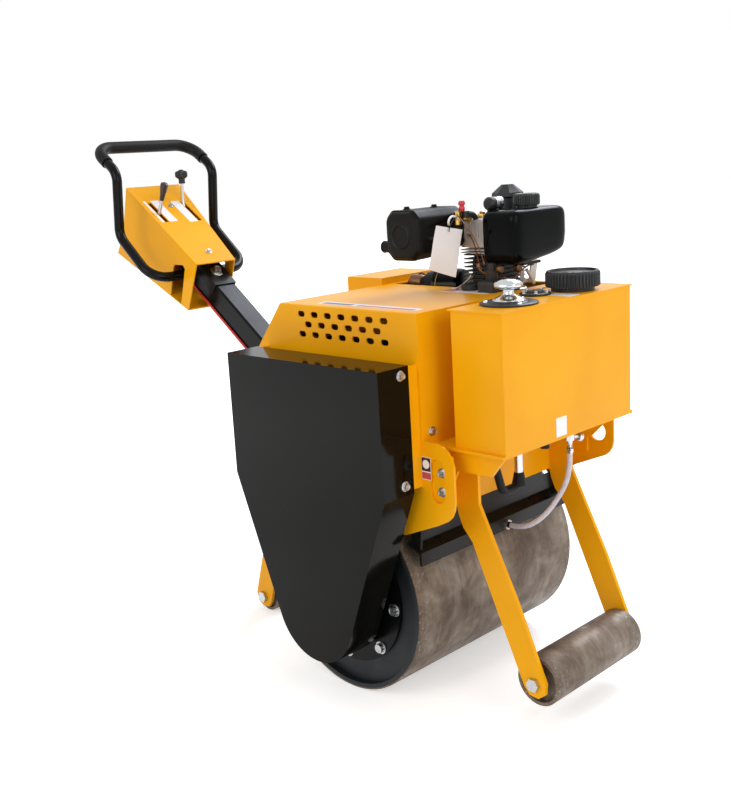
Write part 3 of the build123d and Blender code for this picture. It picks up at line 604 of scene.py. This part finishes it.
def cylinderAndHead():  # cast head with a ribbed valve cover, over a barrel with cooling fins
    look = cylinderLook
    low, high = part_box("cylinder_head")
    foot, rib = low.z + look["cover"], look["rib"]
    blocks = [roundedBlock((low.x + 0.002, low.y + 0.002, foot), (high.x - 0.002, high.y - 0.002, high.z),
        0.2, 72, 40), roundedBlock((low.x, low.y, low.z + 0.012), (high.x, high.y, foot + 0.004), 0.1, 72,
        24)]
    blocks += [roundedBlock((low.x - 0.001, low.y - 0.002, low.z + z),
        (high.x + 0.001, high.y, low.z + z + 0.003), 0.12, 56, 14) for z in (0.000, 0.006)]
    blocks += [roundedBlock((high.x - 0.004, low.y + y, foot),
        (high.x + 0.002, low.y + y + rib, high.z - 0.006), 0.3, 32, 20) for y in look["sideRibs"]]
    blocks += [roundedBlock((low.x + x, low.y - 0.001, foot),
        (low.x + x + rib, low.y + 0.004, high.z - 0.006), 0.3, 32, 20) for x in look["nearRibs"]]
    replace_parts(makePiece("cylinder_head_casting", blocks, castAlloy), "cylinder_head")
    makePiece("cylinder_head_bolts", [hexBolt((x, y, foot + 0.004), (0, 0, 1), 10, 6, 8)
        for x in (low.x + 0.007, high.x - 0.007) for y in (low.y + 0.007, high.y - 0.007)], zinc)
    nut = hexTurned([(0, 0), (9.5, 0, 10.4), (9.5, 6, 10.4), (8.8, 8, 9.4), (6, 8), (6, 12), (4, 13.5),
        (0, 13.5)])
    makePiece("oil_plug_nut", [stand(nut, spotAt(92, 128, 952))], brass)
    low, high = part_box("cylinder")
    levels = np.arange(low.z + 0.003, high.z - 0.004, look["finPitch"])
    fins = [roundedBlock((low.x - 0.002, low.y - 0.002, z), (high.x, high.y, z + look["fin"]), 0.12, 56, 12)
        for z in levels]
    barrel = roundedBlock((low.x + 0.008, low.y + 0.009, low.z), (high.x - 0.008, high.y - 0.009, high.z),
        0.35, 64, 24)
    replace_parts(makePiece("cylinder_finned", fins + [barrel], castIron), "cylinder")


fuelLines = [("fuel_line_copper", 1.5, [(148, 12, 928), (150, 26, 922), (150, 33, 900), (148, 44, 868),
    (146, 50, 852)], "copper"), ("fuel_line_return", 1.9, [(158, 30, 866), (164, 20, 846), (172, 48, 842),
    (176, 76, 832), (178, 92, 832)], "copper"), ("leak_off_line", 1.8, [(196, 88, 822), (200, 96, 838),
    (202, 120, 852), (204, 150, 856)], "copper"),
    ("speed_cable", 1.6, [(60, 60, 806), (86, 52, 812), (112, 46, 826), (132, 40, 842)], "steel"),
    ("injector_line", 1.2, [(96, 44, 966), (104, 30, 962), (128, 40, 944), (152, 40, 910),
    (156, 52, 862)], "copper"), ("tank_hose", 4.0, [(160, 60, 864), (158, 52, 846), (150, 60, 828),
    (138, 80, 822)], "rubber")]


def smallEngineParts():  # lines, fittings and the starter beside the cylinder
    skins = {"copper": copper, "steel": zinc, "rubber": rubber}
    for name, radius, points, kind in fuelLines:
        path = bentSpots(points, 40)
        ends = [stand(hexTurned([(0, 0), (radius * 2, 0, radius * 2.2), (radius * 2, 6, radius * 2.2),
            (radius * 1.4, 8), (0, 8)], 24), path[k], path[k + step] - path[k])
            for k, step in ((0, 1), (-1, -1))]
        makePiece(name, [alongPath(path, radius, 14)] + ends, skins[kind])
    olive = hexTurned([(0, 0), (7, 0, 7.6), (7, 9, 7.6), (5.5, 11), (5.5, 17), (7.5, 18, 8.2), (7.5, 26, 8.2),
        (4, 28), (0, 28)])
    makePiece("injector_fitting", [stand(olive, spotAt(96, 44, 944)), stand(olive, spotAt(90, 86, 952),
        (0.25, -0.9, 0.3))], brass)
    cap = turned([(0, 0), (5, 0), (6.2, 2), (6.2, 8), (4.5, 12), (7.2, 14), (7.2, 18), (5, 21.5), (0, 22)],
        32)
    makePiece("injector_dust_cap", [stand(cap, spotAt(96, 58, 970), (0.05, -0.05, 1))], redPlastic)
    under = [stand(turned([(0, 0), (8.5, 0), (8.5, 14), (0, 14)], 32), spotAt(98, 66, 956)),
        alongPath(bentSpots([(98, 66, 962), (98, 80, 966), (98, 95, 962), (98, 100, 950)], 14), 6, 20)]
    makePiece("injector_holder", under, castIron)
    starter = turned([(0, 0), (30, 0), (36, 4), (38, 12), (38, 60), (39.5, 62), (39.5, 67), (36, 70),
        (32, 90), (20, 99), (8, 103), (0, 103)], 64)
    makePiece("starter_motor", [stand(starter, spotAt(20, 150, 802), (-1, -0.16, 0.0))], glossBlack)
    band = turned([(38.2, 0), (39.4, 0.3), (39.4, 1.2), (38.2, 1.5)], 64)
    makePiece("starter_band", [stand(band, spotAt(-34, 141.4, 802), (-1, -0.16, 0.0))], brass)
    solenoid = turned([(0, 0), (14, 0), (16, 3), (16, 30), (12, 34), (0, 34)])
    leads = [alongPath(bentSpots(route, 24), 2.6, 12)
        for route in (((-96, 132, 812), (-112, 130, 826), (-124, 128, 820), (-134, 126, 800)),
        ((-92, 150, 818), (-110, 150, 832), (-126, 152, 826), (-132, 150, 800)))]
    makePiece("starter_leads", [stand(solenoid, spotAt(-88, 132, 808), (-1, -0.1, 0.05))] + leads, copper)
    knob = turned([(0, 0), (4, 0), (4.5, 4), (7.5, 5), (8.5, 8), (8.5, 15), (6.5, 18.5), (0, 19.5)])
    makePiece("bleed_knobs", [stand(knob, spotAt(176, 66, 852), (1, -0.35, 0.1)),
        stand(knob, spotAt(186, 112, 850), (1, -0.35, 0.1))], copper)
    plates = [pad(spotAt(196, 158, 838), (0, 11, 0), (4, 0, 22), 3), pad(spotAt(190, 128, 826), (0, 6, 0),
        (2, 0, 18), 3), pad(spotAt(194, 146, 822), (0, 22, 0), (1, 0, 4), 3)]
    rod = alongPath(bentSpots([(204, 128, 846), (206, 140, 830), (204, 152, 815)], 12), 3.5, 16)
    makePiece("fuel_tap_bracket", plates + [rod], castAlloy)
    pump = [roundedBlock(spotAt(150, 30, 800), spotAt(192, 84, 832), 0.3, 56, 32),
        stand(turned([(0, 0), (12, 0), (13, 2), (13, 22), (9, 26), (9, 38), (0, 40)]), spotAt(170, 56, 828))]
    makePiece("injection_pump", pump, castIron)
    block = [roundedBlock(spotAt(60, 40, 780), spotAt(130, 90, 806), 0.3, 56, 32),
        stand(turned([(0, 0), (20, 0), (22, 3), (22, 18), (16, 22), (0, 22)]), spotAt(112, 62, 802))]
    makePiece("governor_cover", block, castIron)


def closedSheet(front, back):
    # a thin sheet as one ring-shaped grid: front rows, turned over at both ends onto the back rows
    front[0], front[-1] = (front[0] + back[0]) / 2, (front[-1] + back[-1]) / 2
    back[0], back[-1] = front[0], front[-1]
    return np.concatenate([front, back[:, ::-1]], axis=1)


def tagAndTie():  # blank inspection tag hung on the injector, its card a little bowed
    corner = [spotAt(95, -22, 948), spotAt(106, 46, 934), spotAt(108, 16, 839), spotAt(96, -52, 863)]
    u, v = np.meshgrid(np.linspace(0, 1, 16), np.linspace(0, 1, 16), indexing="ij")
    shares = ((1 - u) * (1 - v), u * (1 - v), u * v, (1 - u) * v)
    face = sum(share[..., None] * place for share, place in zip(shares, corner))
    out = np.cross(corner[1] - corner[0], corner[3] - corner[0])
    out = out / np.linalg.norm(out)
    front = face + (0.0022 * np.sin(np.pi * u) + 0.0008 * np.sin(2 * np.pi * v))[..., None] * out
    back = front - 0.0005 * out
    makePiece("inspection_tag", [closedSheet(front, back)], paper)
    hole = (corner[0] + corner[1]) / 2 + (corner[3] - corner[0]) * 0.06
    tie = bentPath([hole + np.array([0.002, -0.002, -0.003]), hole + np.array([0.004, -0.004, 0.010]),
        spotAt(98, 28, 958), spotAt(97, 44, 962)], 20)
    makePiece("tag_tie", [alongPath(tie, 1.1, 10)], plastic)
    loop = bentSpots([(92, 20, 946), (100, 8, 952), (100, 12, 964), (96, 30, 966), (96, 40, 958)], 24)
    makePiece("tag_clip", [alongPath(loop, 2.4, 12)], paper)


fuelTank()
ribbedCaps()
muffler()
airCleaner()
cylinderAndHead()
smallEngineParts()
tagAndTie()
print("engine pieces made")

# ---- fittings on the tank, hood, frame and console ----


def breather():  # chrome air valve on a black flange: a fluted cone, a neck and a mushroom cap
    foot = spotAt(341.5, -108, 814)
    flange = turned([(0, 0), (52.5, 0), (54, 1), (54, 3.2), (52.5, 4.2), (36, 4.2), (34, 5.8), (31, 6),
        (0, 6)], 96)
    makePiece("breather_flange", [stand(flange, foot)], plastic)
    cone = turned([(0, 6), (30, 6), (30.5, 7.5), (25, 11.5), (17, 15), (11.5, 17.5), (10.5, 20), (10.5, 26.2),
        (13, 28), (23.5, 29.2), (26.2, 32.2, 0.6), (26.6, 36, 1), (23.5, 40.5, 1), (16, 44.2, 0.5), (7, 46.5),
        (0, 47)], 180, 12, 0.4)
    screw = turned([(0, 4), (4.8, 4), (4.8, 5.5), (3.6, 7.2), (1.4, 7.6), (1.2, 6.8), (0, 6.8)], 32)
    turns = [math.radians(a) for a in (215, 335, 95)]
    screws = [stand(screw, foot + 0.043 * np.array([math.cos(a), math.sin(a), 0])) for a in turns]
    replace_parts(makePiece("breather_valve", [stand(cone, foot)] + screws, chrome, 50), "breather_cap")
    disc = turned([(0, 0), (28, 0), (30, 1.2), (30, 4), (28, 5), (17, 5), (15, 8), (0, 8)], 64)
    seat = spotAt(314, 8, 814)
    makePiece("level_sender_flange", [stand(disc, seat)], plastic)
    makePiece("level_sender_bolts",
        [hexBolt(seat + 0.0225 * np.array([math.cos(a), math.sin(a), 0.0]) + np.array([0, 0, 0.0045]),
        (0, 0, 1), 6, 4, 4) for a in np.arange(5) * 2 * np.pi / 5 + 0.4], zinc)


slope = np.array([0.8397, 0.0, -0.543])  # along the console's top, down towards the hood
labels = [
    ("hood_strip", spotAt(72, -203, 808), (135, 0, 0), (0, 13.5, 0),
     [(-0.93, -0.3, -0.75, 0.35, "dark"), (-0.2, 0.95, -0.8, 0.15, "red")]),
    ("hood_label", spotAt(122, 46, 808), (62, 0, 0), (0, 26, 0), [(-0.98, -0.45, -0.9, 0.9, "red")]),
    ("tank_label", spotAt(358, 26, 814), (36, 0, 0), (0, 15, 0), [(-0.98, -0.5, -0.8, 0.8, "red")]),
    ("side_plate_label", spotAt(240, -241, 517), (11.5, 0, 0), (0, 0, 22),
     [(-0.95, 0.95, -0.25, 0.95, "dark"), (-0.95, 0.95, -0.95, -0.35, "red")]),
    ("tank_front_label", spotAt(400, -35, 575), (0, 16.5, 0), (0, 0, 18.5), []),
    ("right_slot_plate", spotAt(-862, -24, 985.3), slope * 50, (0, 12.5, 0), []),
    ("right_slot_edge", spotAt(-862, -56, 985.3), slope * 50, (0, 3.5, 0), []),
    ("left_slot_plate", spotAt(-854, 35, 980.2), slope * 50, (0, 13, 0), [])]


def blankLabels():
    # printed vinyl labels and thin plates, their print left off: a white sheet with plain coloured fields
    skins = {"red": redVinyl, "dark": darkVinyl}
    for name, centre, alongU, alongV, fields in labels:
        alongU, alongV = np.array(alongU, float), np.array(alongV, float)
        out = np.cross(alongU, alongV)
        out /= np.linalg.norm(out)
        makePiece(name, [pad(centre, alongU, alongV, 0.4, 0.08)], whiteVinyl)
        for k, (u0, u1, v0, v1, kind) in enumerate(fields):
            middle = centre + (alongU * (u0 + u1) + alongV * (v0 + v1) + out * 0.6) / 2000
            makePiece(name + "_field" + str(k), [pad(middle, alongU * (u1 - u0) / 2, alongV * (v1 - v0) / 2,
                0.2, 0.06)], skins[kind])
    disc = turned([(0, 0), (8.5, 0), (8.5, 0.3), (0, 0.3)])
    makePiece("side_plate_label_disc", [stand(disc, spotAt(240, -241.4, 525), (0, -1, 0))], whiteVinyl)


boltSpots = {
    "belt_cover_bolts": [((231, -289, 701), (1, 0, 0), 11.5), ((231, -291, 493), (1, 0, 0), 11.5)],
    "hood_front_bolt": [((233, -213, 582), (1, 0, 0), 11)],
    "side_plate_bolts": [((274, -235, 512), (0, -1, 0), 11), ((273, -235, 475), (0, -1, 0), 11)],
    "console_bolts": [((-699, -10, 879.9), (0.543, 0, 0.84), 10), ((-878, 11, 995.7), (0.543, 0, 0.84), 9)],
    "rear_cover_bolts": [((-203, -289, 701), (-1, 0, 0), 13), ((-203, -291, 493), (-1, 0, 0), 13)],
    "tank_shelf_bolts": [((255, -225, 550), (0, 0, -1), 13), ((255, 225, 550), (0, 0, -1), 13)]}


def bolts():  # zinc-plated hexagon bolts with plain washers
    for name, spots in boltSpots.items():
        grids = [hexBolt(spotAt(*p), axis, flats, flats * 0.55, flats * 0.85) for p, axis, flats in spots]
        makePiece(name, grids, zinc, 30)


drumBoltLook = {"count": 8, "circle": 137, "face": 244, "first": -3, "flats": 17.8, "head": 7.2,
    "washer": 13.5}


def drumBolts():  # hexagon bolts round the drum's end flanges, turning with the drum
    look = drumBoltLook
    for name, side in (("drum_bolts_right", -1), ("drum_bolts_left", 1)):
        turns = np.radians(look["first"] - 360 / look["count"] * np.arange(look["count"]))
        grids = [hexBolt(spotAt(look["circle"] * np.cos(t), look["face"] * side,
            drumAxis.z * 1000 + look["circle"] * np.sin(t)), (0, side, 0), look["flats"], look["head"],
            look["washer"]) for t in turns]
        makePiece(name, grids, zinc, 30, "drum")


leverLook = {"pivot": (-866, 955), "rod": 4.2, "root": 5.25, "right": -44, "left": 56, "lobes": 5,
    "lobe": 3.5}


def levers():  # two hand levers on one pivot: a tapered grip on the right and a star knob on the left
    look = leverLook
    (x, z), rod, left = look["pivot"], look["rod"], look["left"]
    hub = turned([(0, -5), (9, -5), (10, -4), (10, 4), (9, 5), (0, 5)])
    foot, top = spotAt(x, look["right"], z), spotAt(x + 50, look["right"], z + 102)
    way = (top - foot) / np.linalg.norm(top - foot)
    stem = alongPath([foot, foot + way * 0.03, top - way * 0.066, top - way * 0.044],
        [look["root"], look["root"], rod, rod], 24)
    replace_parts(makePiece("lever_right_rod", [stem, stand(hub, foot, (0, 1, 0))], zinc), "lever_right")
    grip = turned([(0, 0), (5.2, 0), (5.8, 1.5), (7.4, 18), (9.8, 36), (10.3, 42), (9.5, 46.5), (6, 48.5),
        (0, 49)])
    makePiece("lever_right_grip", [stand(grip, top - way * 0.048, way)], brownPhenolic)
    route = [(x, left, z), (-890, left, 990), (-887, left, 1012), (-884, left, 1032), (-882, left, 1056)]
    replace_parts(makePiece("lever_left_rod", [alongPath(bentSpots(route, 24), rod, 24),
        stand(hub, spotAt(x, left, z), (0, 1, 0))], zinc), "lever_left")
    star = turned([(0, 0), (8.5, 0), (8.5, 12), (10.5, 14.5, 0.5), (13.5, 18, 1), (13.8, 27.5, 1),
        (12.5, 32, 0.8), (8, 34.2), (6.2, 34.2), (6, 36.5), (0, 37)], 120, look["lobes"], look["lobe"])
    makePiece("lever_left_knob", [stand(star, spotAt(-882, left, 1052))], plastic)


shadeSaddleLook = {"half": 92, "width": 33, "lip": 16, "sink": 12}


def postShadeSaddle():  # folded black cap over the post's upper end, inside the console, with its clamp bolt; the cap's black is painted shade, for the shade under the console's front edge
    look = shadeSaddleLook
    fall, up = np.array([0.8, 0.0, -0.6]), np.array([0.6, 0.0, 0.8])
    middle = spotAt(-745, 0, 827.5) + up * 0.030
    lips = [pad(middle + (np.array([0, y, 0]) - up * look["sink"]) / 1000, fall * look["half"],
        up * look["lip"], 3.5, 0.06) for y in (-29.5, look["width"])]
    makePiece("post_shade_saddle", [pad(middle, fall * look["half"], (0, look["width"], 0), 4, 0.06)] + lips,
        satinBlack)
    makePiece("post_saddle_bolt", [hexBolt(middle + fall * 0.045 + up * 0.004, up, 19, 12, 16)], zinc, 30)


def waterFittings():
    # drain valve with a side knob, hose clamp, rubber boot on the drain and a nut on the spray bar's fitting
    body = hexTurned([(0, 0), (8.5, 0, 9.6), (8.5, 14, 9.6), (6.8, 15.5), (6.8, 26), (9, 27.5, 10.2),
        (9, 38, 10.2), (0, 38)])
    tail = turned([(0, -26), (4.2, -26)] + [(4.2 + 1.4 * (k % 2), -24 + 3.5 * k) for k in range(6)]
        + [(6, -2), (6, 0), (0, 0)], 32)
    stem = turned([(0, 0), (4.5, 0), (4.5, 14), (9, 15), (9.5, 18), (9.5, 22), (8, 24), (0, 24)])
    foot = spotAt(335, 82, 512)
    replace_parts(makePiece("water_valve_body", [stand(body, foot), stand(tail, foot),
        stand(stem, foot + np.array([0.002, 0.006, 0.008]), (0.35, 1, -0.25))], zinc), "water_valve")
    clamp = turned([(6.2, 0), (7.4, 0), (7.4, 8), (6.2, 8)])
    screw = hexTurned([(0, 0), (4, 0, 4.5), (4, 7, 4.5), (0, 7)], 24)
    clampPlace = spotAt(335, 82, 487)
    makePiece("hose_clamp", [stand(clamp, clampPlace),
        stand(screw, clampPlace + np.array([0.004, -0.009, 0.004]), (1, 0, 0))], zinc)
    boot = turned([(8, 26), (9.6, 26), (10.4, 22), (14.5, 3), (14.5, 0), (8, 0)], 48)
    makePiece("drain_boot", [stand(boot, spotAt(300, -40, 444))], rubber)
    nut = hexTurned([(6.8, 0), (10, 0, 11.3), (10, 9, 11.3), (6.8, 9)])
    makePiece("spray_fitting_nut", [stand(nut, spotAt(214, 20, 327), (1, 0, 0))], zinc)


breather()
blankLabels()
bolts()
drumBolts()
levers()
postShadeSaddle()
waterFittings()
print("fittings made")

# ---- camera ----

cameraSetup = {"place": (1.8397, -1.6155, 1.0864), "heading": 46.208, "dip": 12.692, "roll": -3.5,
    "lens": 48.02}


def viewCamera():  # heading and dip of the view, rolled about its own axis
    setup = cameraSetup
    turn, dip, roll = (math.radians(setup[k]) for k in ("heading", "dip", "roll"))
    forward = Vector((-math.sin(turn) * math.cos(dip), math.cos(turn) * math.cos(dip), -math.sin(dip)))
    right = Vector((math.cos(turn), math.sin(turn), 0))
    up = right.cross(forward)
    leanRight = right * math.cos(roll) + up * math.sin(roll)
    leanUp = up * math.cos(roll) - right * math.sin(roll)
    data = bpy.data.cameras.new("viewCamera")
    data.lens, data.sensor_width = setup["lens"], 36.0
    camera = addObject("viewCamera", data)
    frameAxes = Matrix((leanRight, leanUp, -forward)).transposed().to_4x4()
    camera.matrix_world = Matrix.Translation(setup["place"]) @ frameAxes
    bpy.context.scene.camera = camera


viewCamera()

# ---- floor and light ----

studio = {"floor": "#f2f2f2", "floorLight": "#f6f6f6", "half": 9.0, "cells": 9, "ambient": 0.6, "back": 120.0,
    "front": 35.0, "right": 47.0, "lift": 0.45, "near": 1.1, "far": 2.4}


def softbox(name, place, aim, size, power, colour):  # a rectangular lamp that faces aim
    data = bpy.data.lights.new(name, "AREA")
    data.shape, data.size, data.size_y = "RECTANGLE", size[0], size[1]
    data.energy, data.color = power, hexToLinear(colour)[:3]
    lamp = addObject(name, data)
    lamp.location = place
    lamp.rotation_mode = "QUATERNION"
    lamp.rotation_quaternion = (Vector(aim) - Vector(place)).to_track_quat("-Z", "Y")


def seenRay(add):  # 1 for a ray that shows the backdrop: straight, mirrored or through glass
    rays = add("LightPath").outputs
    seen = add("Math", {0: rays["Is Camera Ray"], 1: rays["Is Transmission Ray"]}, operation="MAXIMUM")
    return add("Math", {0: seen, 1: rays["Is Glossy Ray"]}, operation="MAXIMUM")


def paleStudio():  # a wide flat floor, a pale world and three softboxes
    cells = studio["cells"]
    span = np.linspace(-studio["half"], studio["half"], cells + 1)
    x, y = np.meshgrid(span, span, indexing="ij")
    points = np.stack([x, y, np.zeros_like(x)], -1).reshape(-1, 3)
    i, j = np.meshgrid(np.arange(cells), np.arange(cells), indexing="ij")
    corner, row = i * (cells + 1) + j, cells + 1
    quads = np.stack([corner, corner + row, corner + row + 1, corner + 1], -1).reshape(-1, 4)
    mesh = bpy.data.meshes.new("studioFloor")
    mesh.from_pydata(points.tolist(), [], quads.tolist())
    floor = addObject("studioFloor", mesh)
    finish, add, shader, spot = newFinish("pale studio floor paint", Roughness=0.9)
    grain = add("TexNoise", {"Vector": spot, "Scale": 1.5, "Detail": 2.0})
    ramp = add("ValToRGB", {"Fac": grain}, [(0.3, studio["floor"]), (0.7, studio["floorLight"])])
    # rays that show the backdrop see the floor lifted towards white, and wholly white far from the machine
    away = add("VectorMath", {0: spot}, operation="LENGTH").outputs["Value"]
    fade = add("MapRange", {"Value": away, "From Min": studio["near"], "From Max": studio["far"],
        "To Min": studio["lift"], "To Max": 1.0})
    glow = add("Math", {0: fade, 1: seenRay(add)}, operation="MULTIPLY")
    fill(shader, {"Base Color": ramp, "Emission Color": hexToLinear("#ffffff"), "Emission Strength": glow})
    mesh.materials.append(finish)
    world = bpy.data.worlds.new("pale studio")
    bpy.context.scene.world = world
    add = adder(world)
    level = add("MapRange", {"Value": seenRay(add), "To Min": studio["ambient"], "To Max": 1.0})
    sky = add("Background", {"Color": hexToLinear("#ffffff"), "Strength": level})
    add("OutputWorld", {"Surface": sky})
    middle = tuple((cadLow + cadHigh) / 2)
    softbox("backSoftbox", (0.1, 2.7, 3.3), middle, (2.6, 1.6), studio["back"], "#eef4ff")
    softbox("frontSoftbox", (3.6, -0.4, 1.9), middle, (2.0, 2.0), studio["front"], "#fffaf2")
    softbox("rightSoftbox", (0.4, -3.6, 2.2), middle, (2.4, 1.8), studio["right"], "#fffaf2")


paleStudio()
bpy.context.scene.view_settings.view_transform = "Standard"
